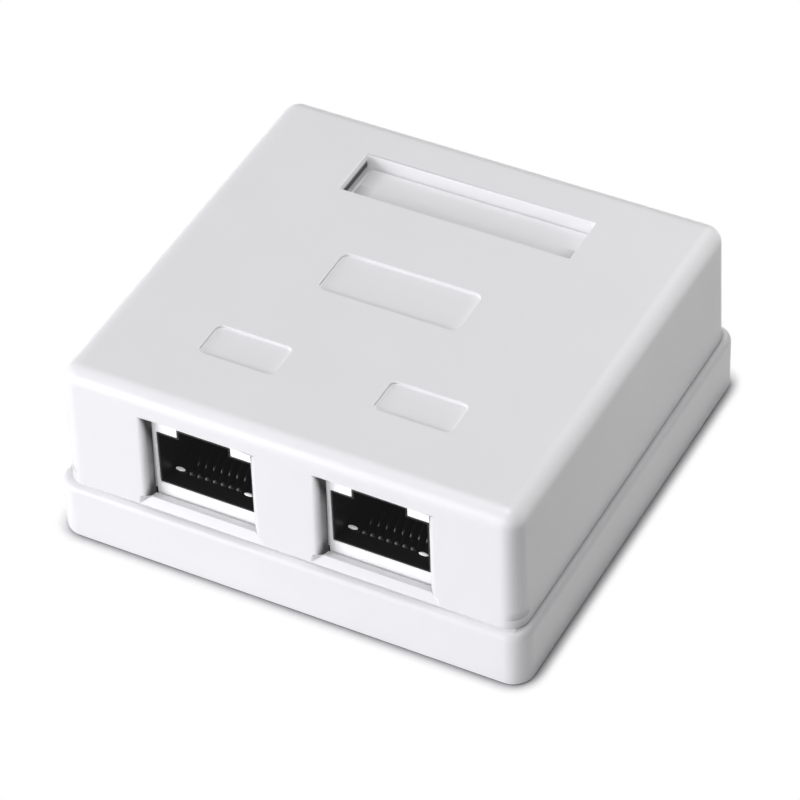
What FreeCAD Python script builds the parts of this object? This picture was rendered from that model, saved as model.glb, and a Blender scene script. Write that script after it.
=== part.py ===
import FreeCAD, Part
import os

import Sketcher
from FreeCAD import Vector
from math import pi

# Surface mount jack box for two sockets, in millimetres.
# X runs to the right, Y to the back and Z up. The origin is the middle of the underside.
# A white base tray carries a circuit board with two jacks and four punch-down blocks.
# A drafted white cover lifts off over them once the screw under its label plate is out.

SIZES = {
    # base tray
    "base_height": 7.5,
    "base_floor": 2.0,
    "base_wall": 2.4,
    "base_corner": 2.6,
    "cover_inset": 0.9,
    "tab_thickness": 1.1,
    "tab_rise": 1.8,
    "tab_gap": 0.2,
    "tab_root": 0.2,
    "tab_foot_drop": 0.6,
    "side_tab_length": 8.0,
    "end_tab_length": 5.0,
    "corner_tab_step": 6.0,
    # cover shell
    "cover_wall": 1.5,
    "cover_top": 2.0,
    "cover_corner": 2.5,
    "cover_round": 2.15,
    "cover_draft": 1.2,
    "head_room": 0.85,
    # board and its posts
    "post_height": 2.0,
    "post_radius": 2.6,
    "rib_length": 4.5,
    "rib_thickness": 1.6,
    "board_thickness": 1.6,
    "board_margin": 1.2,
    "board_front_step": 1.2,
    "board_rear_step": 0.2,
    # socket, as seen through the window
    "socket_width": 11.8,
    "socket_height": 7.2,
    "notch_width": 6.4,
    "notch_height": 1.2,
    "face_thickness": 1.5,
    "face_gap": 0.4,
    "face_lap_low": 0.9,
    "face_lap_high": 0.4,
    "face_lap_side": 1.3,
    "nose_wall": 0.2,
    "nose_gap": 0.05,
    # jack housing
    "jack_side": 2.2,
    "jack_roof": 2.45,
    "jack_rear": 5.0,
    "jack_spacing": 6.0,
    "socket_depth": 12.0,
    "peg_width": 2.4,
    "peg_gap": 0.1,
    "peg_reach": 0.5,
    "peg_inset": 0.2,
    "peg_step": 7.65,
    # windows in the cover
    "sill_height": 1.25,
    "band_below": 1.8,
    "band_above": 2.05,
    "band_side": 0.5,
    "window_flare": 0.6,
    "window_round": 0.9,
    "bevel_land": 0.15,
    "bevel_depth": 0.7,
    "bevel_flare": 0.2,
    "bevel_lap": 0.2,
    # contact wires and their carrier
    "wire_pitch": 1.016,
    "wire_radius": 0.23,
    "wire_bend": 0.55,
    "wire_front": 4.1,
    "wire_sink": 1.2,
    "wire_fold": 1.1,
    "wire_slope_rise": 3.1,
    "wire_slope_run": 6.1,
    "carrier_wall": 0.9,
    "carrier_gap": 0.1,
    "carrier_side": 0.75,
    "carrier_sink": 1.45,
    "channel_step": 0.6,
    "comb_length": 1.5,
    "comb_sink": 0.6,
    "comb_rib": 0.42,
    "tower_rise": 4.35,
    "tower_wall": 0.6,
    "pin_room": 0.7,
    "pin_reach": 1.0,
    "pin_step": 2.2,
    "pin_gap": 0.12,
    # punch-down blocks and their blades
    "slot_pitch": 3.7,
    "slot_width": 1.3,
    "slot_depth": 6.4,
    "slot_flare": 0.6,
    "slot_lead": 1.2,
    "block_end": 2.3,
    "block_depth": 5.6,
    "block_height": 9.4,
    "blade_width": 2.5,
    "blade_thickness": 0.5,
    "blade_drop": 1.4,
    "blade_foot": 0.3,
    "blade_gap": 0.1,
    "blade_pin": 0.7,
    "fork_width": 0.36,
    "fork_depth": 4.6,
    "fork_flare": 0.4,
    "fork_lead": 0.9,
    # room left inside
    "screw_lane": 7.6,
    "row_gap": 2.6,
    "wiring_room": 12.5,
    "screw_room": 7.2,
    # label recess and its plate
    "label_width": 30.0,
    "label_depth": 7.0,
    "label_sink": 1.9,
    "label_plate_thickness": 0.8,
    "label_gap": 0.12,
    "pry_gap": 0.75,
    "label_floor": 1.3,
    "label_frame": 1.4,
    # badge and icon recesses
    "badge_step": 16.95,
    "badge_width": 17.9,
    "badge_depth": 6.9,
    "badge_sink": 0.4,
    "badge_corner": 1.0,
    "icon_step": 16.3,
    "icon_width": 9.7,
    "icon_depth": 5.0,
    "icon_sink": 0.35,
    "icon_corner": 0.8,
    # cover screw and its bosses
    "cover_boss_radius": 4.1,
    "base_boss_radius": 3.25,
    "boss_gap": 0.2,
    "boss_step": 0.35,
    "bore_tip": 0.5,
    "spigot_rise": 1.5,
    "boss_top": 12.0,
    "screw_radius": 1.5,
    "screw_gap": 0.15,
    "thread_gap": 0.05,
    "head_radius": 2.8,
    "head_height": 1.7,
    "head_gap": 0.25,
    "cover_screw_reach": 6.0,
    # board screws
    "board_screw_radius": 1.1,
    "board_head_radius": 2.2,
    "board_head_height": 1.3,
    "board_screw_reach": 2.8,
    # wall fixing and cable ways
    "wall_slot_width": 4.0,
    "wall_slot_length": 7.5,
    "wall_slot_inset": 3.6,
    "wall_slot_span": 28.0,
    "cable_radius": 3.5,
    "cable_rise": 1.2,
    "cable_place": 13.0,
    "floor_way_length": 12.0,
    "floor_way_width": 7.5,
    "floor_way_step": 2.0,
}

WIRES = 8
SLOTS = 4

# A cut that goes right through runs this far past the last face.
OVERCUT = 0.5
# The cross recess, as shares of its screw head's radius and height.
CROSS_REACH, CROSS_ARM, CROSS_SINK = 0.5, 0.13, 0.6
# Two places closer than this count as the same, and a smaller volume as none.
NEAR, TRACE = 0.01, 1e-6


class Length:
    """A size with its value and the sheet formula that gives it."""

    def __init__(self, value, text):
        self.value = float(value)
        self.text = text

    def __add__(self, other):
        other = as_length(other)
        return Length(self.value + other.value, f"({self.text} + {other.text})")

    def __radd__(self, other):
        return as_length(other) + self

    def __sub__(self, other):
        other = as_length(other)
        return Length(self.value - other.value, f"({self.text} - {other.text})")

    def __rsub__(self, other):
        return as_length(other) - self

    def __mul__(self, other):
        other = as_length(other)
        return Length(self.value * other.value, f"({self.text} * {other.text})")

    def __rmul__(self, other):
        return as_length(other) * self

    def __truediv__(self, other):
        other = as_length(other)
        return Length(self.value / other.value, f"({self.text} / {other.text})")

    def __neg__(self):
        return Length(-self.value, f"(-{self.text})")


def as_length(size):
    if isinstance(size, Length):
        return size
    return Length(size, repr(float(size)))


def fill_sheet(doc, sizes):
    """Writes the driving sizes into the sheet and returns them by name."""
    sheet = doc.addObject("Spreadsheet::Sheet", "Sizes")
    named = {}
    for row, (name, value) in enumerate(sizes.items(), start=1):
        sheet.set(f"A{row}", name)
        sheet.set(f"B{row}", str(value))
        sheet.setAlias(f"B{row}", name)
        named[name] = Length(value, f"Sizes.{name}")
    doc.recompute()
    return named


def bind(item, path, size):
    item.setExpression(path, as_length(size).text)


class Outline:
    """A sketch on one of its body's own planes, its places and sizes bound to the sheet."""

    def __init__(self, body, name, plane, offset=0.0):
        self.sketch = body.newObject("Sketcher::SketchObject", name)
        support = [p for p in body.Origin.OriginFeatures if p.Role == plane][0]
        self.sketch.AttachmentSupport = (support, [""])
        self.sketch.MapMode = "FlatFace"
        bind(self.sketch, "AttachmentOffset.Base.z", offset)
        self.rules = []
        self.formulas = {}

    def fix(self, kind, *where, size):
        """Notes a constraint of the given kind with a bound value."""
        size = as_length(size)
        self.formulas[len(self.rules)] = size.text
        self.rules.append(Sketcher.Constraint(kind, *where, size.value))

    def tie(self, kind, *where):
        self.rules.append(Sketcher.Constraint(kind, *where))

    def finish(self):
        """Adds the noted constraints together, then their formulas."""
        self.sketch.addConstraint(self.rules)
        for row, text in self.formulas.items():
            self.sketch.setExpression(f"Constraints[{row}]", text)
        self.sketch.Visibility = False
        return self.sketch

    def place(self, part, point, x, y):
        self.fix("DistanceX", -1, 1, part, point, size=x)
        self.fix("DistanceY", -1, 1, part, point, size=y)

    def polygon(self, points):
        points = [(as_length(x), as_length(y)) for x, y in points]
        first = self.sketch.GeometryCount
        for here, there in zip(points, points[1:] + points[:1]):
            start = Vector(here[0].value, here[1].value, 0)
            end = Vector(there[0].value, there[1].value, 0)
            self.sketch.addGeometry(Part.LineSegment(start, end), False)
        count = len(points)
        for i, (x, y) in enumerate(points):
            self.place(first + i, 1, x, y)
            follower = first + (i + 1) % count
            self.tie("Coincident", first + i, 2, follower, 1)
        return self

    def rectangle(self, x, y, width, height):
        """A rectangle about its middle."""
        left, right = x - as_length(width) / 2, x + as_length(width) / 2
        low, high = y - as_length(height) / 2, y + as_length(height) / 2
        return self.polygon([(left, low), (right, low), (right, high), (left, high)])

    def circle(self, x, y, radius):
        x, y, radius = as_length(x), as_length(y), as_length(radius)
        ring = Part.Circle(Vector(x.value, y.value, 0), Vector(0, 0, 1), radius.value)
        part = self.sketch.addGeometry(ring, False)
        self.place(part, 3, x, y)
        self.fix("Radius", part, size=radius)
        return self

    def arc(self, x, y, radius, start, sweep):
        ring = Part.Circle(Vector(x.value, y.value, 0), Vector(0, 0, 1), radius.value)
        begin, end = start * pi / 2, (start + sweep) * pi / 2
        part = self.sketch.addGeometry(Part.ArcOfCircle(ring, begin, end), False)
        self.place(part, 3, x, y)
        self.fix("Radius", part, size=radius)
        return part

    def join(self, arcs):
        """Draws tangent lines from each arc's end to the next arc's start."""
        lines = []
        for here, there in zip(arcs, arcs[1:] + arcs[:1]):
            start = self.sketch.getPoint(here, 2)
            end = self.sketch.getPoint(there, 1)
            line = self.sketch.addGeometry(Part.LineSegment(start, end), False)
            lines.append((here, line, there))
        for here, line, there in lines:
            self.tie("Tangent", here, 2, line, 1)
            self.tie("Tangent", line, 2, there, 1)
        return self

    def rounded(self, x, y, width, height, radius):
        """A rectangle about its middle with rounded corners."""
        x, y, radius = as_length(x), as_length(y), as_length(radius)
        dx, dy = as_length(width) / 2 - radius, as_length(height) / 2 - radius
        middles = [(x + dx, y + dy), (x - dx, y + dy), (x - dx, y - dy), (x + dx, y - dy)]
        return self.join([self.arc(px, py, radius, i, 1) for i, (px, py) in enumerate(middles)])

    def stadium(self, x, y, length, width, along_x):
        """A slot with round ends about its middle."""
        x, y = as_length(x), as_length(y)
        radius = as_length(width) / 2
        reach = as_length(length) / 2 - radius
        if along_x:
            ends = [(x + reach, y, -1), (x - reach, y, 1)]
        else:
            ends = [(x, y + reach, 0), (x, y - reach, 2)]
        return self.join([self.arc(px, py, radius, start, 2) for px, py, start in ends])


def new_body(doc, label, x=0.0, y=0.0, z=0.0):
    body = doc.addObject("PartDesign::Body", label)
    body.Label = label
    body.AllowCompound = True
    for axis, size in (("x", x), ("y", y), ("z", z)):
        bind(body, f"Placement.Base.{axis}", size)
    return body


def pad(body, name, outline, length, taper=None, reverse=False):
    feature = body.newObject("PartDesign::Pad", name)
    feature.Profile = outline.finish()
    feature.Reversed = reverse
    bind(feature, "Length", length)
    if taper is not None:
        bind(feature, "TaperAngle", taper)
    return feature


def pocket(body, name, outline, length, taper=None, reverse=False):
    feature = body.newObject("PartDesign::Pocket", name)
    feature.Profile = outline.finish()
    feature.Reversed = reverse
    bind(feature, "Length", length)
    if taper is not None:
        bind(feature, "TaperAngle", taper)
    CUTS.append(feature)
    return feature


def loft_cut(body, name, near, far):
    feature = body.newObject("PartDesign::SubtractiveLoft", name)
    feature.Profile = near.finish()
    feature.Sections = [far.finish()]
    feature.Ruled = True
    CUTS.append(feature)
    return feature


def fillet(doc, body, name, base, radius, wanted):
    """Rounds the edges of the base feature that the test accepts."""
    doc.recompute()
    names = [f"Edge{i}" for i, edge in enumerate(base.Shape.Edges, start=1) if wanted(edge)]
    feature = body.newObject("PartDesign::Fillet", name)
    feature.Base = (base, names)
    bind(feature, "Radius", radius)
    return feature


def repeat(body, name, features, count, step, axis="X_Axis"):
    """Repeats features along an axis of the body at the given step."""
    pattern = body.newObject("PartDesign::LinearPattern", name)
    pattern.Originals = features
    direction = [p for p in body.Origin.OriginFeatures if p.Role == axis][0]
    pattern.Direction = (direction, [""])
    pattern.Occurrences = count
    bind(pattern, "Length", (count - 1) * step)
    body.Tip = pattern
    return pattern


CUTS = []


class Layout:
    """Places worked out from the driving sizes, named once for every piece."""

    def __init__(self, s):
        self.jack_width = s["socket_width"] + 2 * s["jack_side"]
        self.port_pitch = self.jack_width + s["jack_spacing"]
        self.board_half_width = self.port_pitch / 2 + self.jack_width / 2 + s["board_margin"]
        self.half_width = self.board_half_width + s["screw_room"] + s["base_wall"]
        self.jack_depth = s["socket_depth"] + s["jack_rear"]
        face_step = s["cover_inset"] + s["cover_wall"] + s["face_gap"]
        jack_length = s["face_thickness"] + self.jack_depth
        rows = 2 * s["block_depth"] + s["row_gap"] + s["board_rear_step"]
        depth = face_step + jack_length + s["screw_lane"] + rows + s["wiring_room"] + s["base_wall"]
        self.half_depth = depth / 2

        self.cover_half_width = self.half_width - s["cover_inset"]
        self.cover_half_depth = self.half_depth - s["cover_inset"]
        self.face_front = -self.half_depth + face_step
        self.housing_front = self.face_front + s["face_thickness"]
        self.housing_back = self.housing_front + self.jack_depth
        self.front_row = self.housing_back + s["screw_lane"] + s["block_depth"] / 2
        self.rear_row = self.front_row + s["block_depth"] + s["row_gap"]
        self.board_front = self.face_front + s["board_front_step"]
        self.board_back = self.rear_row + s["block_depth"] / 2 + s["board_rear_step"]
        self.lane = self.housing_back + s["screw_lane"] / 2
        self.boss_y = self.board_back + s["boss_step"] + s["base_boss_radius"]

        self.board_low = s["base_floor"] + s["post_height"]
        self.board_high = self.board_low + s["board_thickness"]
        self.seam = s["base_height"]
        self.window_low = self.seam + s["sill_height"]
        self.socket_low = self.window_low + s["band_below"]
        self.socket_high = self.socket_low + s["socket_height"]
        self.notch_high = self.socket_high + s["notch_height"]
        self.window_high = self.notch_high + s["band_above"]
        self.jack_high = self.notch_high + s["jack_roof"]
        self.ceiling = self.jack_high + s["head_room"]
        self.top = self.ceiling + s["cover_top"]

        self.label_low = self.top - s["label_sink"] - s["label_plate_thickness"]
        self.label_under = self.label_low - s["label_floor"]
        self.head_seat = self.label_low - s["head_gap"] - s["head_height"]
        self.badge_y = self.boss_y - s["badge_step"]
        self.icon_y = self.badge_y - s["icon_step"]
        self.screw_x = self.board_half_width - s["post_radius"]
        self.slot_x = self.half_width - s["base_wall"] - s["wall_slot_inset"]
        self.block_width = (SLOTS - 1) * s["slot_pitch"] + 2 * s["block_end"]


def socket_outline(body, name, plane_offset, s, lay, growth=0.0):
    """The socket's opening with the latch notch at its top, grown on every side."""
    half = s["socket_width"] / 2 + growth
    notch = s["notch_width"] / 2 + growth
    low, high, top = lay.socket_low - growth, lay.socket_high + growth, lay.notch_high + growth
    points = [(-half, low), (half, low), (half, high), (notch, high)]
    points += [(notch, top), (-notch, top), (-notch, high), (-half, high)]
    return Outline(body, name, "XZ_Plane", plane_offset).polygon(points)


def build_base_tray(doc, s, lay):
    """The lower shell: floor, walls, rounded ledge, posts, boss, tabs and cable ways."""
    body = new_body(doc, "base_tray")
    width, depth = 2 * lay.half_width, 2 * lay.half_depth
    shell = pad(body, "tray_block",
                Outline(body, "tray_outline", "XY_Plane").rounded(0, 0, width, depth, s["base_corner"]),
                s["base_height"])
    height = lay.seam.value
    fillet(doc, body, "tray_ledge", shell, s["cover_inset"],
           lambda edge: edge.BoundBox.ZMin > height - NEAR)
    inner = Outline(body, "tray_inside", "XY_Plane", s["base_floor"])
    inner.rectangle(0, 0, width - 2 * s["base_wall"], depth - 2 * s["base_wall"])
    pocket(body, "tray_hollow", inner, s["base_height"], reverse=True)

    # two posts with pilot holes in the screw lane, and ribs under the board's edges
    posts = Outline(body, "post_outline", "XY_Plane", s["base_floor"])
    for side in (-1, 1):
        posts.circle(side * lay.screw_x, lay.lane, s["post_radius"])
        posts.rectangle(side * lay.screw_x, lay.board_back - s["rib_thickness"] / 2,
                        s["rib_length"], s["rib_thickness"])
    posts.rectangle(0, lay.board_front + s["rib_length"] / 2, s["rib_thickness"], s["rib_length"])
    pad(body, "posts", posts, s["post_height"])
    pilots = Outline(body, "pilot_outline", "XY_Plane", lay.board_low)
    for side in (-1, 1):
        pilots.circle(side * lay.screw_x, lay.lane, s["board_screw_radius"] + s["thread_gap"])
    pocket(body, "pilots", pilots, s["board_screw_reach"] + s["thread_gap"])

    # tall boss for the cover screw
    boss = Outline(body, "boss_outline", "XY_Plane", s["base_floor"])
    boss.circle(0, lay.boss_y, s["base_boss_radius"])
    pad(body, "boss", boss, s["boss_top"] - s["base_floor"])
    bore = Outline(body, "boss_bore_outline", "XY_Plane", s["boss_top"])
    bore.circle(0, lay.boss_y, s["screw_radius"] + s["thread_gap"])
    pocket(body, "boss_bore", bore, s["cover_screw_reach"] + s["bore_tip"])

    # tabs that stand inside the cover's wall
    build_tabs(body, s, lay)

    # wall screw slots and cable ways through the floor
    slots = Outline(body, "wall_slot_outline", "XY_Plane", s["base_floor"])
    for side in (-1, 1):
        for end in (-1, 1):
            slots.stadium(side * lay.slot_x, end * s["wall_slot_span"] / 2,
                          s["wall_slot_length"], s["wall_slot_width"], along_x=False)
    pocket(body, "wall_slots", slots, s["base_floor"])
    ways = Outline(body, "floor_way_outline", "XY_Plane", s["base_floor"])
    way_y = lay.board_back + s["floor_way_step"] + s["floor_way_width"] / 2
    for side in (-1, 1):
        ways.stadium(side * s["cable_place"], way_y,
                     s["floor_way_length"], s["floor_way_width"], along_x=True)
    pocket(body, "floor_ways", ways, s["base_floor"])
    doors = Outline(body, "cable_door_outline", "XZ_Plane", -lay.half_depth)
    for side in (-1, 1):
        doors.circle(side * s["cable_place"], s["base_height"] - s["cable_rise"], s["cable_radius"])
    pocket(body, "cable_doors", doors, s["base_wall"] + OVERCUT, reverse=True)
    return body


def build_tabs(body, s, lay):
    """Short tabs on the inside of the tray wall, the upper part clear of the cover."""
    wall_x, wall_y = lay.half_width - s["base_wall"], lay.half_depth - s["base_wall"]
    corner_x = lay.half_width - s["corner_tab_step"]
    feet = Outline(body, "tab_foot_outline", "XY_Plane", s["base_floor"] / 2)
    tabs = Outline(body, "tab_outline", "XY_Plane", s["base_floor"])
    foot_depth = s["tab_root"] + s["tab_gap"] + s["tab_thickness"]
    foot_step = foot_depth / 2 - s["tab_root"]
    tab_step = s["tab_gap"] + s["tab_thickness"] / 2
    for side in (-1, 1):
        feet.rectangle(side * (wall_x - foot_step), 0, foot_depth, s["side_tab_length"])
        tabs.rectangle(side * (wall_x - tab_step), 0, s["tab_thickness"], s["side_tab_length"])
        for x in (-corner_x, 0, corner_x):
            feet.rectangle(x, side * (wall_y - foot_step), s["end_tab_length"], foot_depth)
            tabs.rectangle(x, side * (wall_y - tab_step), s["end_tab_length"], s["tab_thickness"])
    pad(body, "tab_feet", feet, s["base_height"] - s["tab_foot_drop"] - s["base_floor"] / 2)
    pad(body, "tabs", tabs, s["base_height"] - s["base_floor"] + s["tab_rise"])


def build_cover_shell(doc, s, lay):
    """The upper shell: drafted walls, rounded top, recesses, windows and screw boss."""
    body = new_body(doc, "cover_shell")
    width, depth = 2 * lay.cover_half_width, 2 * lay.cover_half_depth
    rise = lay.top - lay.seam
    outline = Outline(body, "cover_outline", "XY_Plane", lay.seam)
    outline.rounded(0, 0, width, depth, s["cover_corner"])
    block = pad(body, "cover_block", outline, rise, taper=-s["cover_draft"])
    high = lay.top.value
    fillet(doc, body, "cover_rounding", block, s["cover_round"],
           lambda edge: edge.BoundBox.ZMin > high - NEAR)
    inside = Outline(body, "cover_inside", "XY_Plane", lay.seam)
    inside.rectangle(0, 0, width - 2 * s["cover_wall"], depth - 2 * s["cover_wall"])
    pocket(body, "cover_hollow", inside, lay.ceiling - lay.seam, taper=-s["cover_draft"], reverse=True)

    # thick frame under the label recess, with the screw boss hanging from it
    frame = Outline(body, "label_frame_outline", "XY_Plane", lay.label_under)
    frame.rectangle(0, lay.boss_y, s["label_width"] + 2 * s["label_frame"],
                    s["label_depth"] + 2 * s["label_frame"])
    pad(body, "label_frame", frame, lay.top - lay.label_under - s["cover_top"] / 2)
    boss_low = s["boss_top"] - s["spigot_rise"]
    boss = Outline(body, "cover_boss_outline", "XY_Plane", boss_low)
    boss.circle(0, lay.boss_y, s["cover_boss_radius"])
    pad(body, "cover_boss", boss, lay.label_low - boss_low)
    spigot = Outline(body, "spigot_outline", "XY_Plane", boss_low)
    spigot.circle(0, lay.boss_y, s["base_boss_radius"] + s["boss_gap"])
    pocket(body, "spigot_seat", spigot, s["spigot_rise"], reverse=True)

    # label recess, head seat and screw hole
    label = Outline(body, "label_outline", "XY_Plane", lay.top)
    label.rectangle(0, lay.boss_y, s["label_width"], s["label_depth"])
    pocket(body, "label_recess", label, lay.top - lay.label_low)
    seat = Outline(body, "head_seat_outline", "XY_Plane", lay.label_low)
    seat.circle(0, lay.boss_y, s["head_radius"] + s["screw_gap"])
    pocket(body, "head_seat", seat, lay.label_low - lay.head_seat)
    hole = Outline(body, "screw_hole_outline", "XY_Plane", lay.head_seat)
    hole.circle(0, lay.boss_y, s["screw_radius"] + s["screw_gap"])
    pocket(body, "screw_hole", hole, lay.head_seat - s["boss_top"] + OVERCUT)

    # shallow badge recess in the middle and an icon recess over each port
    badge = Outline(body, "badge_outline", "XY_Plane", lay.top)
    badge.rounded(0, lay.badge_y, s["badge_width"], s["badge_depth"], s["badge_corner"])
    pocket(body, "badge_recess", badge, s["badge_sink"])
    icons = Outline(body, "icon_outline", "XY_Plane", lay.top)
    for side in (-1, 1):
        icons.rounded(side * lay.port_pitch / 2, lay.icon_y, s["icon_width"], s["icon_depth"],
                      s["icon_corner"])
    pocket(body, "icon_recesses", icons, s["icon_sink"])

    cut_windows(doc, body, s, lay)

    doors = Outline(body, "cover_door_outline", "XZ_Plane", -lay.cover_half_depth)
    for side in (-1, 1):
        doors.circle(side * s["cable_place"], s["base_height"] - s["cable_rise"], s["cable_radius"])
    pocket(body, "cover_doors", doors, s["cover_wall"] + OVERCUT, reverse=True)
    return body


def cut_windows(doc, body, s, lay):
    """The port windows: tapered sides with rounded edges, and a sloping sill with mitred ends."""
    front = lay.cover_half_depth
    far_half = s["socket_width"] / 2 + s["band_side"]
    near_half = far_half + s["window_flare"]
    low, high = lay.window_low, lay.window_high
    through = s["cover_wall"] + s["face_gap"]
    ports = ((-lay.port_pitch / 2, "left"), (lay.port_pitch / 2, "right"))
    for x, word in ports:
        near = Outline(body, f"window_near_{word}", "XZ_Plane", front)
        near.rectangle(x, (low + high) / 2, 2 * near_half, high - low)
        far = Outline(body, f"window_far_{word}", "XZ_Plane", front - through)
        far.rectangle(x, (low + high) / 2, 2 * far_half, high - low)
        window = loft_cut(body, f"window_{word}", near, far)

    rise = (high - low).value
    shallow = (s["cover_wall"] / 2 - front).value
    fillet(doc, body, "window_rounding", window, s["window_round"],
           lambda edge: abs(edge.BoundBox.ZLength - rise) < NEAR and edge.BoundBox.YMax < shallow)

    foot = lay.seam + s["bevel_land"]
    rim_half = near_half + s["window_round"]
    foot_half = rim_half + s["bevel_flare"]
    lap = low + s["bevel_lap"]
    inner = near_half - s["window_flare"] * s["bevel_depth"] / through
    for x, word in ports:
        slope = Outline(body, f"bevel_near_{word}", "XZ_Plane", front)
        slope.polygon([(x - foot_half, foot), (x + foot_half, foot),
                       (x + rim_half, lap), (x - rim_half, lap)])
        end = Outline(body, f"bevel_far_{word}", "XZ_Plane", front - s["bevel_depth"])
        end.polygon([(x - inner, low), (x + inner, low), (x + inner, lap), (x - inner, lap)])
        loft_cut(body, f"bevel_{word}", slope, end)


def build_label_plate(doc, s, lay):
    """The plate on the recess floor, short of its left end by the pry gap."""
    body = new_body(doc, "label_plate", y=lay.boss_y, z=lay.label_low)
    half_width, half_depth = s["label_width"] / 2, s["label_depth"] / 2
    left, right = -half_width + s["pry_gap"], half_width - s["label_gap"]
    outline = Outline(body, "plate_outline", "XY_Plane")
    outline.polygon([(left, -half_depth + s["label_gap"]), (right, -half_depth + s["label_gap"]),
                     (right, half_depth - s["label_gap"]), (left, half_depth - s["label_gap"])])
    pad(body, "plate", outline, s["label_plate_thickness"])
    return body


def build_cover_screw(doc, s, lay):
    """Pan head screw under the label plate, with a cross recess."""
    body = new_body(doc, "cover_screw", y=lay.boss_y, z=lay.head_seat)
    reach = lay.head_seat - s["boss_top"] + s["cover_screw_reach"]
    turn_screw(body, s["head_radius"], s["head_height"], s["screw_radius"], reach)
    cross_recess(body, s["head_radius"], s["head_height"])
    return body


def turn_screw(body, head_radius, head_height, shank_radius, reach):
    """A screw about the body's Z axis, its head's underside at zero."""
    profile = Outline(body, "screw_profile", "XZ_Plane")
    profile.polygon([(0, -reach), (shank_radius, -reach), (shank_radius, 0), (head_radius, 0),
                     (head_radius, head_height), (0, head_height)])
    turned = body.newObject("PartDesign::Revolution", "turned")
    turned.Profile = profile.finish()
    axis = [p for p in body.Origin.OriginFeatures if p.Role == "Z_Axis"][0]
    turned.ReferenceAxis = (axis, [""])
    turned.Angle = 360.0
    return turned


def cross_recess(body, head_radius, head_height):
    arms = Outline(body, "cross_outline", "XY_Plane", head_height)
    reach, arm = head_radius * CROSS_REACH, head_radius * CROSS_ARM
    points = [(reach, -arm), (reach, arm), (arm, arm), (arm, reach), (-arm, reach), (-arm, arm),
              (-reach, arm), (-reach, -arm), (-arm, -arm), (-arm, -reach), (arm, -reach), (arm, -arm)]
    arms.polygon(points)
    return pocket(body, "cross", arms, head_height * CROSS_SINK)


def build_board_screws(doc, s, lay):
    """Two screws that hold the board on the posts of the screw lane."""
    body = new_body(doc, "board_screws", x=-lay.screw_x, y=lay.lane, z=lay.board_high)
    reach = s["board_thickness"] + s["board_screw_reach"]
    turned = turn_screw(body, s["board_head_radius"], s["board_head_height"], s["board_screw_radius"], reach)
    cut = cross_recess(body, s["board_head_radius"], s["board_head_height"])
    repeat(body, "pair", [turned, cut], 2, 2 * lay.screw_x)
    return body


def build_circuit_board(doc, s, lay):
    """The board, with holes for its screws, the jacks' pegs and every pin."""
    body = new_body(doc, "circuit_board")
    outline = Outline(body, "board_outline", "XY_Plane", lay.board_low)
    middle = (lay.board_front + lay.board_back) / 2
    outline.rectangle(0, middle, 2 * lay.board_half_width, lay.board_back - lay.board_front)
    pad(body, "board", outline, s["board_thickness"])
    for side, word in ((-1, "left"), (1, "right")):
        port = side * lay.port_pitch / 2
        fixing = Outline(body, f"fixing_outline_{word}", "XY_Plane", lay.board_high)
        fixing.circle(side * lay.screw_x, lay.lane, s["board_screw_radius"] + s["screw_gap"])
        for end in (-1, 1):
            fixing.rectangle(port + end * peg_place(s), lay.housing_front + s["peg_step"],
                             s["peg_width"] + 2 * s["peg_gap"], s["peg_width"] + 2 * s["peg_gap"])
        pocket(body, f"fixing_holes_{word}", fixing, s["board_thickness"])
        pins = Outline(body, f"pin_outline_{word}", "XY_Plane", lay.board_high)
        for i in range(WIRES):
            pins.rectangle(port + wire_place(s, i), pin_depth(s, lay, i), pin_hole(s), pin_hole(s))
        pocket(body, f"pin_holes_{word}", pins, s["board_thickness"])
        blades = Outline(body, f"blade_pin_outline_{word}", "XY_Plane", lay.board_high)
        for row in (lay.front_row, lay.rear_row):
            for i in range(SLOTS):
                blades.rectangle(port + slot_place(s, i), row, s["blade_pin"] + 2 * s["pin_gap"],
                                 s["blade_thickness"] + 2 * s["pin_gap"])
        pocket(body, f"blade_pin_holes_{word}", blades, s["board_thickness"])
    return body


def pin_hole(s):
    return 2 * (s["wire_radius"] + s["pin_gap"])


def peg_place(s):
    return s["socket_width"] / 2 - s["peg_inset"]


def wire_place(s, i):
    return (i - (WIRES - 1) / 2) * s["wire_pitch"]


def pin_depth(s, lay, i):
    """The pins stand in two rows under the back of the jack."""
    back = lay.housing_back - s["tower_wall"] - s["pin_room"]
    return back if i % 2 == 0 else back - s["pin_step"]


def slot_place(s, i):
    return (i - (SLOTS - 1) / 2) * s["slot_pitch"]


def build_jack_face(doc, s, lay, side, word):
    """White frame round the socket's black nose, which ends flush with it."""
    body = new_body(doc, f"jack_face_{word}", x=side * lay.port_pitch / 2, y=lay.face_front)
    low, high = lay.window_low - s["face_lap_low"], lay.window_high + s["face_lap_high"]
    width = s["socket_width"] + 2 * (s["band_side"] + s["face_lap_side"])
    plate = Outline(body, "face_outline", "XZ_Plane")
    plate.rectangle(0, (low + high) / 2, width, high - low)
    pad(body, "face", plate, s["face_thickness"], reverse=True)
    hole = socket_outline(body, "face_hole_outline", 0, s, lay, growth=s["nose_wall"] + s["nose_gap"])
    pocket(body, "face_hole", hole, s["face_thickness"])
    return body


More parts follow.
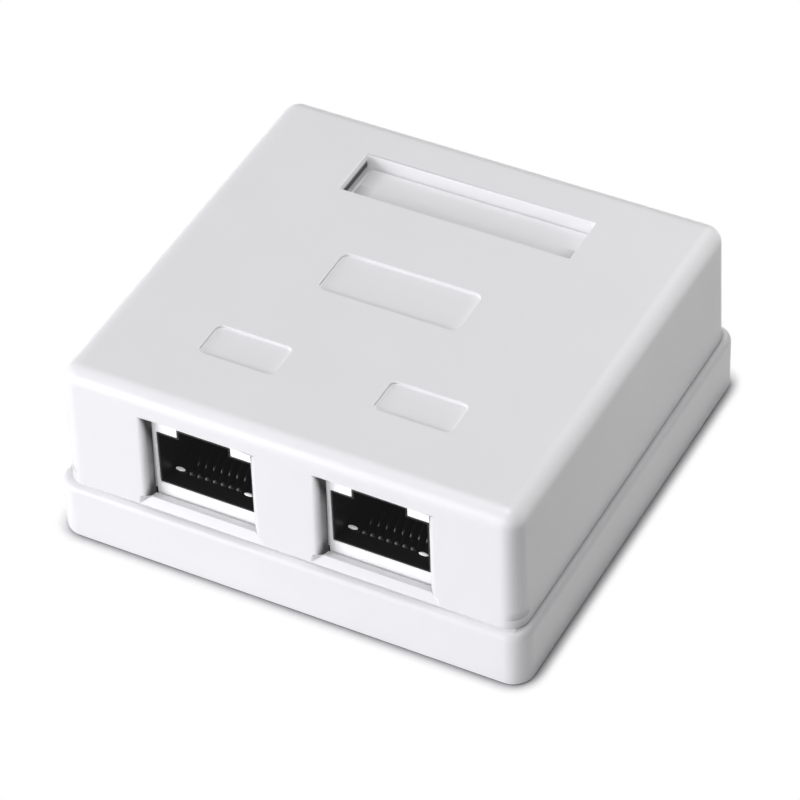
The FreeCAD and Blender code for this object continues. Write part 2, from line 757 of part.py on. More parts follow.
def build_jack_housing(doc, s, lay, side, word):
    """Black socket body on the board: nose, cavity, channel for the carrier and pegs."""
    body = new_body(doc, f"jack_housing_{word}", x=side * lay.port_pitch / 2, y=lay.housing_front)
    block = Outline(body, "housing_outline", "XZ_Plane")
    block.rectangle(0, (lay.board_high + lay.jack_high) / 2, lay.jack_width, lay.jack_high - lay.board_high)
    pad(body, "block", block, lay.jack_depth, reverse=True)
    nose = socket_outline(body, "nose_outline", 0, s, lay, growth=s["nose_wall"])
    pad(body, "nose", nose, s["face_thickness"])
    cavity = socket_outline(body, "cavity_outline", s["face_thickness"], s, lay)
    pocket(body, "cavity", cavity, s["face_thickness"] + s["socket_depth"])

    # channel for the carrier, open to the back and up into the cavity
    half = carrier_half(s) + s["carrier_gap"]
    low = lay.board_high + s["carrier_wall"]
    high = lay.socket_low + OVERCUT
    channel = Outline(body, "channel_outline", "XZ_Plane", -s["channel_step"])
    channel.polygon([(-half, low), (half, low), (half, high), (-half, high)])
    pocket(body, "channel", channel, lay.jack_depth)
    rear = Outline(body, "rear_channel_outline", "XY_Plane", lay.board_high)
    rear_depth = lay.jack_depth - s["socket_depth"] + OVERCUT
    rear.rectangle(0, lay.jack_depth - rear_depth / 2, 2 * half, rear_depth)
    pocket(body, "rear_channel", rear, lay.socket_low - lay.board_high + s["tower_rise"], reverse=True)

    pegs = Outline(body, "peg_outline", "XY_Plane", lay.board_high)
    for end in (-1, 1):
        pegs.rectangle(end * peg_place(s), s["peg_step"],
                       s["peg_width"], s["peg_width"])
    pad(body, "pegs", pegs, s["board_thickness"] + s["peg_reach"], reverse=True)
    return body


def carrier_half(s):
    return s["wire_pitch"] * WIRES / 2 + s["carrier_side"]


def build_contact_carrier(doc, s, lay, side, word):
    """Black comb that lies in the housing's channel and stands up behind the socket."""
    body = new_body(doc, f"contact_carrier_{word}", x=side * lay.port_pitch / 2, y=lay.housing_front)
    half = carrier_half(s)
    low = lay.board_high + s["carrier_wall"] + s["carrier_gap"]
    front = s["channel_step"] + s["carrier_gap"]
    back = lay.jack_depth
    rear = s["socket_depth"] + s["carrier_gap"]
    floor = lay.socket_low - s["carrier_sink"]
    comb_back = front + s["comb_length"]
    top = lay.socket_low + s["tower_rise"] - s["carrier_gap"]
    side_view = Outline(body, "carrier_profile", "YZ_Plane", -half)
    side_view.polygon([(front, low), (rear, low), (rear, lay.board_high + s["carrier_gap"]),
                       (back, lay.board_high + s["carrier_gap"]), (back, top), (rear, top),
                       (rear, floor), (comb_back, floor), (comb_back, lay.socket_low),
                       (front, lay.socket_low)])
    pad(body, "carrier", side_view, 2 * half)
    gap = s["wire_pitch"] - s["comb_rib"]
    slot_low, slot_high = floor - s["comb_sink"], lay.socket_low + OVERCUT
    slot = Outline(body, "comb_outline", "XZ_Plane", OVERCUT - front)
    slot.rectangle(wire_place(s, 0), (slot_low + slot_high) / 2, gap, slot_high - slot_low)
    cut = pocket(body, "comb_slot", slot, rear + s["tower_wall"] - front + 2 * OVERCUT)
    repeat(body, "comb", [cut], WIRES, s["wire_pitch"])
    shaft = Outline(body, "shaft_outline", "XY_Plane", top)
    shaft.rectangle(0, (rear + back) / 2, 2 * (half - s["tower_wall"]), back - rear - 2 * s["tower_wall"])
    pocket(body, "shaft", shaft, top - lay.board_high)
    return body


def wire_path(s, lay, i):
    """Corner points of one wire in its own plane: pin, riser, run, fold and sprung slope."""
    y_pin = pin_depth(s, lay, i) - lay.housing_front
    y_front = s["wire_front"] - s["face_thickness"]
    run_z = lay.socket_low - s["wire_sink"]
    fold_z = run_z + s["wire_fold"]
    low = lay.board_low - s["pin_reach"]
    slope_y = y_front + s["wire_slope_run"]
    slope_z = fold_z + s["wire_slope_rise"]
    return [(y_pin, low), (y_pin, run_z), (y_front, run_z), (y_front, fold_z), (slope_y, slope_z)]


def bent_path(points, bend):
    """Straight runs with each corner cut by a short run across the bend."""
    corners = [Vector(0, y.value, z.value) for y, z in points]
    path = [corners[0]]
    for before, corner, after in zip(corners, corners[1:], corners[2:]):
        path.append(corner + (before - corner).normalize() * bend.value)
        path.append(corner + (after - corner).normalize() * bend.value)
    path.append(corners[-1])
    return Part.makePolygon(path)


def build_contact_wires(doc, s, lay, side, word):
    """Eight wires, their pins in two rows and their sprung ends in the socket."""
    group = doc.addObject("Part::Feature", f"contact_wires_{word}")
    group.Label = f"contact_wires_{word}"
    half = s["wire_radius"].value
    mitred = 1
    wires = []
    for i in range(WIRES):
        path = bent_path(wire_path(s, lay, i), s["wire_bend"])
        start = path.Vertexes[0].Point
        corners = [start + Vector(x, y, 0)
                   for x, y in ((-half, -half), (half, -half), (half, half), (-half, half))]
        section = Part.makePolygon(corners + corners[:1])
        wire = path.makePipeShell([section], True, True, mitred)
        wire.translate(Vector(wire_place(s, i).value, 0, 0))
        wires.append(wire)
    group.Shape = Part.makeCompound(wires)
    bind(group, "Placement.Base.x", side * lay.port_pitch / 2)
    bind(group, "Placement.Base.y", lay.housing_front)
    return group


def build_terminal_block(doc, s, lay, x, y, label):
    """White punch-down block: four wire slots and a pocket across each for its blade."""
    body = new_body(doc, label, x=x, y=y, z=lay.board_high)
    outline = Outline(body, "block_outline", "XY_Plane")
    outline.rectangle(0, 0, lay.block_width, s["block_depth"])
    pad(body, "block", outline, s["block_height"])
    slots = Outline(body, "slot_outline", "XZ_Plane", s["block_depth"])
    rim = s["block_height"]
    floor, lead = rim - s["slot_depth"], rim - s["slot_lead"]
    half = s["slot_width"] / 2
    wide = half + s["slot_flare"]
    for i in range(SLOTS):
        x0 = slot_place(s, i)
        slots.polygon([(x0 - half, floor), (x0 + half, floor), (x0 + half, lead),
                       (x0 + wide, rim), (x0 - wide, rim), (x0 - half, lead)])
    pocket(body, "slots", slots, 2 * s["block_depth"])
    rooms = Outline(body, "blade_room_outline", "XY_Plane", s["block_height"])
    for i in range(SLOTS):
        rooms.rectangle(slot_place(s, i), 0, s["blade_width"] + 2 * s["blade_gap"],
                        s["blade_thickness"] + 2 * s["blade_gap"])
    pocket(body, "blade_rooms", rooms, s["block_height"])
    return body


def build_terminal_blades(doc, s, lay, x, y, label):
    """Four slotted blades with a pin each down through the board."""
    body = new_body(doc, label, x=x, y=y, z=lay.board_high)
    low, foot = -s["board_thickness"] - s["pin_reach"], s["blade_foot"]
    high = s["block_height"] - s["blade_drop"]
    fork, lead = high - s["fork_depth"], high - s["fork_lead"]
    half, pin, cut = s["blade_width"] / 2, s["blade_pin"] / 2, s["fork_width"] / 2
    wide = cut + s["fork_flare"]
    outline = Outline(body, "blade_outline", "XZ_Plane", s["blade_thickness"] / 2)
    for i in range(SLOTS):
        x0 = slot_place(s, i)
        right = [(pin, low), (pin, foot), (half, foot), (half, high), (wide, high), (cut, lead), (cut, fork)]
        left = [(-x, z) for x, z in reversed(right)]
        outline.polygon([(x0 + x, z) for x, z in right + left])
    pad(body, "blades", outline, s["blade_thickness"], reverse=True)
    return body


def check(doc, pieces):
    """Stops if a feature failed, a cut removed nothing or a shape isn't sound."""
    for item in doc.Objects:
        if "Invalid" in item.State or "Error" in item.State:
            raise RuntimeError(f"{item.Label} failed: {item.State}")
    for cut in CUTS:
        if cut.Shape.Volume > cut.BaseFeature.Shape.Volume - TRACE:
            raise RuntimeError(f"{cut.Label} in {cut.getParent().Label} removed nothing")
    for piece in pieces:
        if piece.Shape.isNull() or not piece.Shape.isValid():
            raise RuntimeError(f"{piece.Label} has no sound shape")


def main():
    doc = FreeCAD.newDocument("jack_box")
    s = fill_sheet(doc, SIZES)
    lay = Layout(s)
    pieces = [build_base_tray(doc, s, lay), build_circuit_board(doc, s, lay), build_board_screws(doc, s, lay)]
    for side, word in ((-1, "left"), (1, "right")):
        pieces.append(build_jack_housing(doc, s, lay, side, word))
        pieces.append(build_jack_face(doc, s, lay, side, word))
        pieces.append(build_contact_carrier(doc, s, lay, side, word))
        pieces.append(build_contact_wires(doc, s, lay, side, word))
        for y, row in ((lay.front_row, "front"), (lay.rear_row, "rear")):
            x = side * lay.port_pitch / 2
            pieces.append(build_terminal_block(doc, s, lay, x, y, f"terminal_block_{word}_{row}"))
            pieces.append(build_terminal_blades(doc, s, lay, x, y, f"terminal_blades_{word}_{row}"))
    pieces += [build_cover_shell(doc, s, lay), build_label_plate(doc, s, lay), build_cover_screw(doc, s, lay)]
    doc.recompute()
    check(doc, pieces)
    os.makedirs("parts", exist_ok=True)
    for piece in pieces:
        piece.Shape.exportStep(os.path.join("parts", piece.Label + ".step"))


main()
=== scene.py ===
"""Looks and studio of a white surface mount jack box with two sockets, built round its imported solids."""

import logging
import math
from abc import ABC, abstractmethod
from dataclasses import dataclass, field
from enum import Enum
from typing import Any, Callable, Iterable, Optional, Sequence

import bmesh
import bpy
from mathutils import Matrix, Vector

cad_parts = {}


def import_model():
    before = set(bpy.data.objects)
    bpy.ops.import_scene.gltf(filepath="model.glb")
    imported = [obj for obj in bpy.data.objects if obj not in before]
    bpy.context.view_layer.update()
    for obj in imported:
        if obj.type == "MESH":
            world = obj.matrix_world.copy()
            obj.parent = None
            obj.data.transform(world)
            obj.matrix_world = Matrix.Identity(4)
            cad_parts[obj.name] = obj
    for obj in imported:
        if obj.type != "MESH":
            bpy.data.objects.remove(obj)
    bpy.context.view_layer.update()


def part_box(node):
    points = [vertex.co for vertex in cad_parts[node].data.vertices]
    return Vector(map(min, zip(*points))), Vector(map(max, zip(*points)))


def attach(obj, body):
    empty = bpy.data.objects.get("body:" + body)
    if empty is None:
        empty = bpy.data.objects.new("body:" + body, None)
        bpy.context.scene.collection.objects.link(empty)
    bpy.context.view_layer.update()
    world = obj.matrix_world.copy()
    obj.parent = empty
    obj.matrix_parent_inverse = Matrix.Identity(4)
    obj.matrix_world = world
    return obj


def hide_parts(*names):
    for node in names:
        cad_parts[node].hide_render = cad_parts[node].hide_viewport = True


LOG = logging.getLogger("jack_box")
MM = 0.001
MERGE = 2e-6
FLAT_TURN = math.radians(0.25)
WIRES = 8
THREAD_STEPS = 24


class Side(Enum):
    """The two ports, seen from the sockets, with the sign of their X."""

    LEFT = -1
    RIGHT = 1

    @property
    def word(self) -> str:
        """The word that ends the port's node names."""
        return self.name.lower()


class Row(Enum):
    """The two rows of punch-down blocks."""

    FRONT = "front"
    REAR = "rear"


class Body(Enum):
    """The moving bodies that pieces ride on."""

    BASE = "base"
    COVER = "cover"
    PLATE = "label_plate"


class Slot(Enum):
    """The record's material slots."""

    MOULDING = "white_moulding"
    INSERT = "white_insert"
    BLACK = "black_moulding"
    BOARD = "board_green"
    GOLD = "gold_contact"
    BLADE = "blade_metal"
    STEEL = "screw_steel"


# Finishes


class Graph:
    """A short way to lay out a material's nodes.

    Attributes:
        place: the point on the part, in metres, as a socket.
        along: the point's share along each axis, by the axis's name.
        facing: the surface normal's share along each axis.
    """

    def __init__(self, name: str) -> None:
        """Opens an empty node tree.

        Args:
            name: the material's name.
        """
        self.material = bpy.data.materials.new(name)
        self.material.use_nodes = True
        self.tree = self.material.node_tree
        self.tree.nodes.clear()
        self.output = self.tree.nodes.new("ShaderNodeOutputMaterial")
        normal = self.add("ShaderNodeNewGeometry").outputs["Normal"]
        self.place = self.add("ShaderNodeTexCoord").outputs["Object"]
        self.along = self.add("ShaderNodeSeparateXYZ", {"Vector": self.place}).outputs
        self.facing = self.add("ShaderNodeSeparateXYZ", {"Vector": normal}).outputs

    def add(self, kind: str, inputs: Optional[dict[Any, Any]] = None, **settings: Any) -> bpy.types.Node:
        """Adds a node.

        Args:
            kind: the node's type.
            inputs: socket name or number to a value, or to another node's socket.
            settings: the node's own properties.

        Returns:
            The new node.
        """
        node = self.tree.nodes.new(kind)
        for key, value in settings.items():
            setattr(node, key, value)
        for key, value in (inputs or {}).items():
            socket = node.inputs[key]
            if isinstance(value, bpy.types.NodeSocket):
                self.tree.links.new(value, socket)
            else:
                socket.default_value = value
        return node

    def maths(self, operation: str, *terms: Any) -> Any:
        """Works out an operation on values or sockets and returns the result's socket."""
        return self.add("ShaderNodeMath", dict(enumerate(terms)), operation=operation).outputs[0]

    def ramp(self, value: Any, run: Sequence[float], low: float = 0.0, high: float = 1.0) -> Any:
        """Maps a value to a range and holds it there.

        Args:
            value: the value's socket.
            run: where the value starts and ends.
            low: the result at the run's start.
            high: the result at its end.

        Returns:
            The mapped value's socket.
        """
        node = self.add("ShaderNodeMapRange", {"Value": value, "From Min": run[0], "From Max": run[1],
                                               "To Min": low, "To Max": high})
        return node.outputs["Result"]

    def pick(self, where: Any, other: Any, here: Any) -> Any:
        """Goes from one value to another as a mask goes from 0 to 1, and returns the result's socket."""
        return self.add("ShaderNodeMix", {0: where, 2: other, 3: here}).outputs[0]

    def scaled(self, colour: Any, level: Any) -> Any:
        """Multiplies a colour by a level and returns the result's socket."""
        node = self.add("ShaderNodeVectorMath", {0: colour, "Scale": level}, operation="SCALE")
        return node.outputs["Vector"]

    def sky(self, reach: float, samples: int = 12) -> Any:
        """The share of open sky that a point sees within a reach, as a socket."""
        return self.add("ShaderNodeAmbientOcclusion", {"Distance": reach}, samples=samples).outputs["AO"]

    def noise(self, size: float, detail: float = 2.0, rough: float = 0.5,
              stretch: Sequence[float] = (1, 1, 1)) -> Any:
        """A noise pattern of the given grain size in metres, as its factor socket."""
        mapped = self.add("ShaderNodeMapping", {"Vector": self.place, "Scale": tuple(stretch)})
        node = self.add("ShaderNodeTexNoise", {"Vector": mapped.outputs["Vector"], "Scale": 1.0 / size,
                                               "Detail": detail, "Roughness": rough})
        return node.outputs["Fac"]

    def spread(self, factor: Any, low: float, high: float) -> Any:
        """Maps the middle half of a noise factor to a range and returns the result's socket."""
        return self.ramp(factor, (0.25, 0.75), low, high)

    def blend(self, factor: Any, first: Any, second: Any) -> Any:
        """Mixes two colours and returns the result's socket."""
        return self.add("ShaderNodeMix", {0: factor, 6: first, 7: second}, data_type="RGBA").outputs[2]

    def bump(self, height: Any, depth: float) -> Any:
        """Turns a height into a normal; depth is in metres."""
        node = self.add("ShaderNodeBump", {"Height": height, "Distance": depth, "Strength": 1.0})
        return node.outputs["Normal"]

    def surface(self, shader: bpy.types.Node) -> bpy.types.Material:
        """Ends the tree in the given shader and returns the material."""
        self.tree.links.new(shader.outputs[0], self.output.inputs["Surface"])
        return self.material


def grey(level: float) -> tuple[float, float, float, float]:
    """A neutral colour."""
    return (level, level, level, 1.0)


@dataclass(frozen=True)
class Finish(ABC):
    """A surface finish that can make its own material."""

    name: str

    @abstractmethod
    def material(self) -> bpy.types.Material:
        """The finish as a node material."""


@dataclass(frozen=True)
class MouldedPlastic(Finish):
    """Injection moulded plastic: a fine spark-eroded grain, faint flow clouds and a satin gloss.

    Some of it has painted light: an emission in its narrow gaps, left of a set X, or an even painted glow.
    """

    colour: tuple[float, float, float, float]
    shade: tuple[float, float, float, float]
    roughness: float = 0.36
    roughness_spread: float = 0.04
    grain: float = 0.00022
    grain_depth: float = 0.000004
    cloud: float = 0.012
    gloss_cloud: float = 0.0042
    specular: float = 0.5
    # glow: an even painted glow, an emission though the part is no lamp.
    glow: float = 0.0
    # Painted light in narrow gaps: its strength, the occlusion reach that finds the gaps, its run, and the X
    # where it stops.
    fill: float = 0.0
    fill_reach: float = 0.0004
    fill_run: tuple[float, float] = (0.15, 0.75)
    fill_end: float = 0.0282

    def tint(self, g: Graph) -> Any:
        """The base colour's socket, with its flow clouds."""
        return g.blend(g.spread(g.noise(self.cloud, 3.0), 0.0, 1.0), self.colour, self.shade)

    def gleam(self, g: Graph) -> Any:
        """Painted light as emission: stronger in the plastic's narrow gaps, or its even painted glow."""
        if not self.fill:
            return self.glow
        depth = g.ramp(g.sky(self.fill_reach, 8), self.fill_run, self.fill, 0.0)
        return g.maths("MULTIPLY", depth, g.maths("LESS_THAN", g.along["X"], self.fill_end))

    def material(self) -> bpy.types.Material:
        """The finish as a node material."""
        g = Graph(self.name)
        fine = g.noise(self.grain, 3.0, 0.6)
        gloss = g.spread(g.noise(self.gloss_cloud, 4.0), self.roughness - self.roughness_spread,
                         self.roughness + self.roughness_spread)
        shader = g.add("ShaderNodeBsdfPrincipled", {
            "Base Color": self.tint(g), "Roughness": gloss, "Specular IOR Level": self.specular,
            "Emission Color": grey(1.0), "Emission Strength": self.gleam(g),
            "Normal": g.bump(fine, self.grain_depth)})
        return g.surface(shader)


@dataclass(frozen=True)
class RecessedPlastic(MouldedPlastic):
    """Moulded plastic at the floor of a recess, with painted shade along the recess's front and left walls.
    """

    reach: float = 0.0032
    sky_run: tuple[float, float] = (0.6, 0.95)
    dark: float = 0.62
    behind: float = 0.0176
    left: tuple[float, float] = (-0.0143, -0.0122)
    left_dark: float = 0.72

    def tint(self, g: Graph) -> Any:
        """The base colour's socket, darker beside both walls as painted shade."""
        ahead = g.maths("LESS_THAN", g.along["Y"], self.behind)
        front = g.pick(ahead, 1.0, g.ramp(g.sky(self.reach), self.sky_run, self.dark))
        fade = g.ramp(g.along["X"], self.left, self.left_dark)
        return g.scaled(super().tint(g), g.maths("MULTIPLY", front, fade))


@dataclass(frozen=True)
class ShellPlastic(MouldedPlastic):
    """Moulded plastic of the two shells, whose right side has painted shade that deepens towards the sockets.
    """

    flank: float = 0.84
    flank_run: tuple[float, float] = (-0.029, 0.004)

    def tint(self, g: Graph) -> Any:
        """The base colour's socket, with painted shade at the front of the right side."""
        right = g.maths("MAXIMUM", g.facing["X"], 0.0)
        fall = g.ramp(g.along["Y"], self.flank_run, self.flank)
        return g.scaled(super().tint(g), g.pick(right, 1.0, fall))


@dataclass(frozen=True)
class LedgedPlastic(ShellPlastic):
    """Moulded plastic whose right ledge has the cover's shade painted in."""

    reach: float = 0.0014
    sky_run: tuple[float, float] = (0.5, 0.97)
    dark: float = 0.55
    start: float = 0.0283
    foot: float = 0.005

    def tint(self, g: Graph) -> Any:
        """The base colour's socket, with painted shade along the right ledge."""
        past = g.maths("GREATER_THAN", g.along["X"], self.start)
        high = g.maths("GREATER_THAN", g.along["Z"], self.foot)
        depth = g.ramp(g.sky(self.reach), self.sky_run, self.dark)
        return g.scaled(super().tint(g), g.pick(g.maths("MULTIPLY", past, high), 1.0, depth))


@dataclass(frozen=True)
class WindowedPlastic(ShellPlastic):
    """Moulded plastic of the cover: painted shade deep in the windows, and a painted dark line for the shade
    in a narrow gap of the label recess.

    The windows lie ahead of front and above foot. The painted dark line lies on the end wall of the label
    recess, from gap_foot to gap_top, within gap_half of gap_middle in X and Y.
    """

    reach: float = 0.0026
    front: float = -0.0255
    foot: float = 0.0088
    jamb_run: tuple[float, float] = (0.8, 0.992)
    jamb_fall: float = 1.9
    jamb_dark: float = 0.06
    sill_run: tuple[float, float] = (0.3, 0.9)
    sill_dark: float = 0.8
    flare: tuple[float, float] = (0.2, 0.6)
    gap_middle: tuple[float, float] = (-0.0158, 0.0176)
    gap_half: tuple[float, float] = (0.0016, 0.0042)
    gap_foot: tuple[float, float] = (0.0223, 0.0226)
    gap_top: tuple[float, float] = (0.0231, 0.0236)
    gap_turn: float = 0.5
    gap_dark: float = 0.08
    # Painted highlights as emission: the top of the label recess's end wall, the right upper edge, and the
    # recess's rear wall.
    gap_glow: float = 0.22
    edge_glow: float = 0.36
    wall_glow: float = 0.09
    wall_start: float = 0.0195
    wall_turn: float = -0.7

    def recess_end(self, g: Graph) -> Any:
        """A mask of the label recess's left end."""
        across, along = (g.maths("COMPARE", g.along[axis], middle, half)
                         for axis, middle, half in zip("XY", self.gap_middle, self.gap_half))
        return g.maths("MULTIPLY", across, along)

    def tint(self, g: Graph) -> Any:
        """The base colour's socket, with painted shade deep in the windows and a painted dark line at the
        gap.
        """
        # Painted shade from occlusion: deep in the window jambs and along the sills.
        sky = g.sky(self.reach)
        fall = g.maths("POWER", g.ramp(sky, self.jamb_run), self.jamb_fall)
        jamb = g.maths("MAXIMUM", fall, self.jamb_dark)
        sideways = g.ramp(g.maths("ABSOLUTE", g.facing["X"]), self.flare)
        depth = g.pick(sideways, g.ramp(sky, self.sill_run, self.sill_dark), jamb)
        window = g.maths("MULTIPLY", g.maths("LESS_THAN", g.along["Y"], self.front),
                         g.maths("GREATER_THAN", g.along["Z"], self.foot))
        turned = g.maths("COMPARE", g.facing["Y"], 0.0, self.gap_turn)
        # Painted shade: a dark line across the recess's end wall between gap_foot and gap_top.
        line = g.maths("MAXIMUM", g.ramp(g.along["Z"], self.gap_top, self.gap_dark),
                       g.ramp(g.along["Z"], self.gap_foot, 1.0, self.gap_dark))
        end = g.maths("MULTIPLY", self.recess_end(g), turned)
        return g.scaled(super().tint(g), g.pick(end, g.pick(window, 1.0, depth), line))

    def gleam(self, g: Graph) -> Any:
        """Painted light as emission: the gap light near the seam, a painted highlight on the right upper
        edge, and painted highlights on the top of the label recess's end wall and on its rear wall.
        """
        seam = g.maths("MULTIPLY", super().gleam(g), g.maths("LESS_THAN", g.along["Z"], self.foot))
        right, up = (g.maths("MAXIMUM", g.facing[axis], 0.0) for axis in "XZ")
        lip = g.maths("MULTIPLY", self.recess_end(g), g.ramp(g.along["Z"], self.gap_top, 0.0, self.gap_glow))
        edge = g.maths("MULTIPLY", right, up)
        wall = g.maths("MULTIPLY", g.maths("LESS_THAN", g.facing["Y"], self.wall_turn),
                       g.maths("GREATER_THAN", g.along["Y"], self.wall_start))
        light = seam
        for mask, strength in ((lip, right), (edge, self.edge_glow), (wall, self.wall_glow)):
            light = g.maths("MULTIPLY_ADD", mask, strength, light)
        return light


@dataclass(frozen=True)
class PlatedMetal(Finish):
    """Plated sheet or wire: drawn lines along one axis, faint tarnish and a bright gloss."""

    colour: tuple[float, float, float, float]
    tarnish: tuple[float, float, float, float]
    roughness: float = 0.25
    gloss_run: tuple[float, float] = (-0.06, 0.1)
    grain: float = 0.00006
    stretch: tuple[float, float, float] = (1.0, 0.06, 1.0)
    depth: float = 0.000001
    stain: float = 0.0015
    # An even painted glow, as emission.
    glow: float = 0.0

    def material(self) -> bpy.types.Material:
        """The finish as a node material."""
        g = Graph(self.name)
        lines = g.noise(self.grain, 2.0, 0.5, self.stretch)
        stain = g.spread(g.noise(self.stain, 4.0, 0.6), 0.0, 1.0)
        low, high = (self.roughness + change for change in self.gloss_run)
        shader = g.add("ShaderNodeBsdfPrincipled", {
            "Base Color": g.blend(stain, self.colour, self.tarnish), "Metallic": 1.0,
            "Roughness": g.spread(lines, low, high),
            "Emission Color": grey(1.0), "Emission Strength": self.glow,
            "Normal": g.bump(lines, self.depth)})
        return g.surface(shader)


@dataclass(frozen=True)
class SolderMask(Finish):
    """Circuit board: green mask over the weave, copper tracks under it that show lighter."""

    mask: tuple[float, float, float, float] = (0.012, 0.11, 0.045, 1.0)
    track: tuple[float, float, float, float] = (0.03, 0.2, 0.075, 1.0)
    roughness: float = 0.3
    tracks_per_metre: float = 300.0
    track_run: tuple[float, float] = (0.52, 0.6)
    regions_per_metre: float = 170.0
    turned_share: float = 0.55
    weave: float = 0.0003
    weave_height: float = 0.3
    depth: float = 0.00002

    def material(self) -> bpy.types.Material:
        """The finish as a node material."""
        g = Graph(self.name)
        bands = []
        for direction in "XY":
            wave = g.add("ShaderNodeTexWave", {
                "Vector": g.place, "Scale": self.tracks_per_metre, "Distortion": 0.0},
                wave_type="BANDS", bands_direction=direction)
            bands.append(g.ramp(wave.outputs["Fac"], self.track_run))
        region = g.add("ShaderNodeTexVoronoi", {"Vector": g.place, "Scale": self.regions_per_metre},
                       distance="CHEBYCHEV")
        lot = g.add("ShaderNodeSeparateColor", {"Color": region.outputs["Color"]}).outputs[0]
        tracks = g.pick(g.maths("GREATER_THAN", lot, self.turned_share), *bands)
        height = g.maths("ADD", tracks, g.spread(g.noise(self.weave, 2.0), 0.0, self.weave_height))
        shader = g.add("ShaderNodeBsdfPrincipled", {
            "Base Color": g.blend(tracks, self.mask, self.track), "Roughness": self.roughness,
            "Normal": g.bump(height, self.depth)})
        return g.surface(shader)


@dataclass(frozen=True)
class StudioFloor(Finish):
    """Pale sweep that stays white to the eye and keeps a close shadow of what stands on it, partly its own
    lit shading and partly painted shadow.

    The shadow ends past the runs left and rear, and under the box the sweep is plain paper.
    """

    albedo: float = 0.8
    albedo_spread: float = 0.01
    grain: float = 0.004
    # shade: the paper's darkest level in the painted part of the close shadow.
    shade: float = 0.2
    white: float = 1.0
    reach: float = 0.0017
    dusk_run: tuple[float, float] = (0.42, 0.72)
    lit_run: tuple[float, float] = (0.72, 0.95)
    left: tuple[float, float] = (-0.0285, -0.0325)
    rear: tuple[float, float] = (0.027, 0.0303)
    under: tuple[float, float] = (0.028, 0.027)

    def material(self) -> bpy.types.Material:
        """The finish as a node material."""
        g = Graph(self.name)
        ray = g.add("ShaderNodeLightPath")
        seen = g.maths("MAXIMUM", ray.outputs["Is Camera Ray"], ray.outputs["Is Glossy Ray"])
        sky = g.sky(self.reach)
        grain = g.spread(g.noise(self.grain, 3.0), self.albedo - self.albedo_spread,
                         self.albedo + self.albedo_spread)
        # Painted shadow: to the eye the paper darkens by occlusion near what stands on it, on top of its own
        # lit shading.
        dusk = g.pick(seen, 1.0, g.ramp(sky, self.dusk_run, self.shade / self.albedo))
        paper = g.add("ShaderNodeBsdfDiffuse", {"Color": g.maths("MULTIPLY", grain, dusk)})
        glow = g.add("ShaderNodeEmission", {"Color": grey(1.0), "Strength": self.white})
        bright = g.ramp(sky, self.lit_run)
        for axis, run in (("X", self.left), ("Y", self.rear)):
            bright = g.maths("MAXIMUM", bright, g.ramp(g.along[axis], run))
        covered = g.maths("MULTIPLY", *(g.maths("COMPARE", g.along[axis], 0.0, half)
                                        for axis, half in zip("XY", self.under)))
        share = g.pick(covered, g.maths("MULTIPLY", seen, bright), 0.0)
        return g.surface(g.add("ShaderNodeMixShader", {0: share, 1: paper.outputs[0], 2: glow.outputs[0]}))


# The cover, tray and label plate carry painted light as emission in their narrow gaps.
WHITE_MOULDING = WindowedPlastic("satin_white_abs", grey(0.85), grey(0.835), roughness=0.33,
                                 roughness_spread=0.03, fill=0.1)
TRAY_MOULDING = LedgedPlastic("satin_white_tray", grey(0.85), grey(0.835), roughness=0.33,
                              roughness_spread=0.03, fill=0.15)
LABEL_MOULDING = RecessedPlastic("label_white_abs", grey(0.85), grey(0.83), roughness=0.42, fill=0.06)
# The jack faces' glow is an even painted glow, as emission.
WHITE_INSERT = MouldedPlastic("bright_white_insert", grey(0.95), grey(0.93), roughness=0.34, glow=0.13)
BLOCK_PLASTIC = MouldedPlastic("white_block_nylon", (0.83, 0.82, 0.79, 1), (0.8, 0.79, 0.75, 1),
                               roughness=0.5)
# The black parts' faint glow is painted light, as emission, that lifts their darks.
BLACK_MOULDING = MouldedPlastic("black_pbt", grey(0.011), grey(0.008), roughness=0.42, specular=0.4,
                                glow=0.0065)
# The rib tips' grey and faint glow are painted glints on the black comb.
RIB_TIP = MouldedPlastic("rib_tip_painted_glint", grey(0.13), grey(0.1), roughness=0.33, glow=0.02)
# The studs' strong glow is a painted highlight, as emission.
STUD = MouldedPlastic("bright_stud", grey(0.95), grey(0.93), roughness=0.34, glow=0.3)
BOARD_MASK = SolderMask("green_solder_mask")
# The contact wires are dark grey, not plated gold: painted shade of the socket's inside; their faint glow is
# painted light.
CONTACT = PlatedMetal("contact_wire_painted_shade", (0.06, 0.058, 0.054, 1), (0.045, 0.044, 0.041, 1),
                      roughness=0.3, glow=0.0065)
TIN = PlatedMetal("tinned_blade", (0.75, 0.74, 0.72, 1), (0.6, 0.59, 0.57, 1), roughness=0.32,
                  stretch=(1, 1, 0.06))
ZINC = PlatedMetal("zinc_plated_steel", (0.7, 0.71, 0.73, 1), (0.56, 0.57, 0.6, 1), roughness=0.28)
FLOOR = StudioFloor("white_sweep")


# Work on meshes


